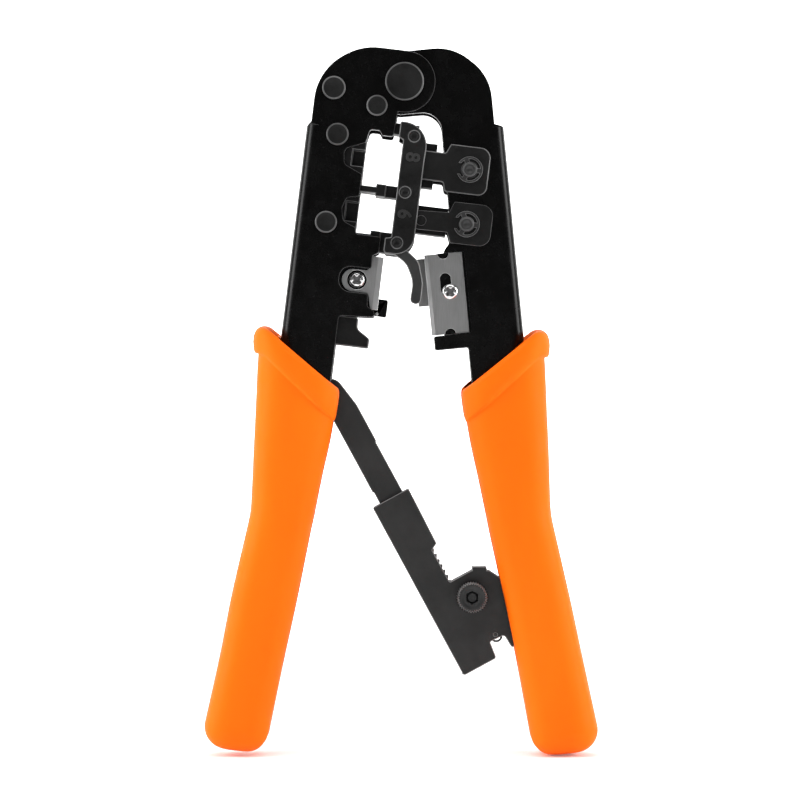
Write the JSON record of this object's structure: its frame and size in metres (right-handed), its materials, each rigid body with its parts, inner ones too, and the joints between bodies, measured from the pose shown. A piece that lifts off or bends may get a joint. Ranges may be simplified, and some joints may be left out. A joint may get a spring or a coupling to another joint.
{
  "type": "modular plug crimping tool",
  "caption": "Hand crimping tool for modular plugs, with ratchet, two crimping nests, wire cutter and stripper blades, and moulded grips.",
  "frame": {"origin": "under the middle of the overall box, level with the lowest point of the grips, handles open", "axes": "+X towards the moving handle, +Z from the grips to the pivot, -Y the front face with the nests"},
  "size_m": [0.1112, 0.0258, 0.2007],
  "materials": {
    "black_steel": "satin black over pressed steel",
    "cast_grey": "dark grey, fine cast grain",
    "ratchet_grey": "dark zinc, satin",
    "rivet_steel": "dark burnished, bright rims",
    "blade_steel": "ground, fine lines",
    "bright_steel": "bright nickel plate",
    "spring_steel": "drawn wire",
    "orange_grip": "moulded, fine satin texture"
  },
  "bodies": {
    "left_handle": {"left_frame": "black_steel", "left_grip": "orange_grip", "die_block": "cast_grey", "guide_bridge_front": "cast_grey", "guide_bridge_rear": "cast_grey", "bridge_posts": "rivet_steel", "wire_stop": "ratchet_grey", "pivot_rivet": "rivet_steel", "pivot_spacer": "spring_steel", "frame_rivets": "rivet_steel", "rivet_spacers": "spring_steel", "return_spring": "spring_steel", "blade_holder_left": "black_steel", "left_blade": "blade_steel", "left_blade_screw": "bright_steel", "strip_anvil": "cast_grey", "wire_gauge": "black_steel", "gauge_pin": "bright_steel", "ratchet_bar_pin": "rivet_steel"},
    "right_handle": {"right_frame": "black_steel", "right_grip": "orange_grip", "blade_holder_right": "black_steel", "cutter_blade": "blade_steel", "cutter_screw": "bright_steel", "rear_blade": "blade_steel", "rear_blade_screw": "bright_steel", "ram_pins": "rivet_steel", "ram_clips": "rivet_steel", "housing_pin": "rivet_steel"},
    "link_8": {"link_8p": "cast_grey", "punch_pin_8p": "rivet_steel"},
    "link_6": {"link_6p": "cast_grey", "punch_pin_6p": "rivet_steel"},
    "ram_8": {"punch_8p": "cast_grey"},
    "ram_6": {"punch_6p": "cast_grey"},
    "bar": {"ratchet_bar": "ratchet_grey"},
    "housing": {"ratchet_housing": "ratchet_grey", "pawl_spring": "bright_steel", "spring_anchor": "bright_steel"},
    "release": {"release_knob": "ratchet_grey", "pawl": "rivet_steel"}
  },
  "joints": [
    {"name": "handle", "type": "hinge", "parent": "left_handle", "child": "right_handle", "pos_m": [0.00108, 0, 0.19095], "axis": [0, 1, 0], "range_deg": [0, 13.5], "stiffness_Nm_per_rad": 0.25, "springref_deg": -20.05},
    {"name": "link_8", "type": "hinge", "parent": "right_handle", "child": "link_8", "pos_m": [0.01948, 0, 0.16602], "axis": [0, 1, 0], "range_deg": [0, 4.55]},
    {"name": "ram_8", "type": "slide", "parent": "left_handle", "child": "ram_8", "axis": [-0.9925, 0, 0.1219], "range_m": [0, 0.00532]},
    {"name": "link_6", "type": "hinge", "parent": "right_handle", "child": "link_6", "pos_m": [0.01859, 0, 0.15061], "axis": [0, 1, 0], "range_deg": [0, 6.59]},
    {"name": "ram_6", "type": "slide", "parent": "left_handle", "child": "ram_6", "axis": [-0.9925, 0, 0.1219], "range_m": [0, 0.00905]},
    {"name": "bar", "type": "hinge", "parent": "left_handle", "child": "bar", "pos_m": [-0.02342, 0, 0.10295], "axis": [0, 1, 0], "range_deg": [0, 27.97]},
    {"name": "housing", "type": "hinge", "parent": "right_handle", "child": "housing", "pos_m": [0.03304, 0, 0.04098], "axis": [0, 1, 0], "range_deg": [0, 14.48]},
    {"name": "release", "type": "hinge", "parent": "housing", "child": "release", "pos_m": [0.02019, 0, 0.04516], "axis": [0, 1, 0], "range_deg": [0, 20], "stiffness_Nm_per_rad": 0.01}
  ],
  "couplings": [
    {"joint": "link_8", "follows": "handle", "ratio": 0.315},
    {"joint": "ram_8", "follows": "handle", "m_per_rad": 0.022166},
    {"joint": "link_6", "follows": "handle", "ratio": 0.466},
    {"joint": "ram_6", "follows": "handle", "m_per_rad": 0.037984},
    {"joint": "bar", "follows": "handle", "ratio": 2.05},
    {"joint": "housing", "follows": "handle", "ratio": 1.05}
  ]
}
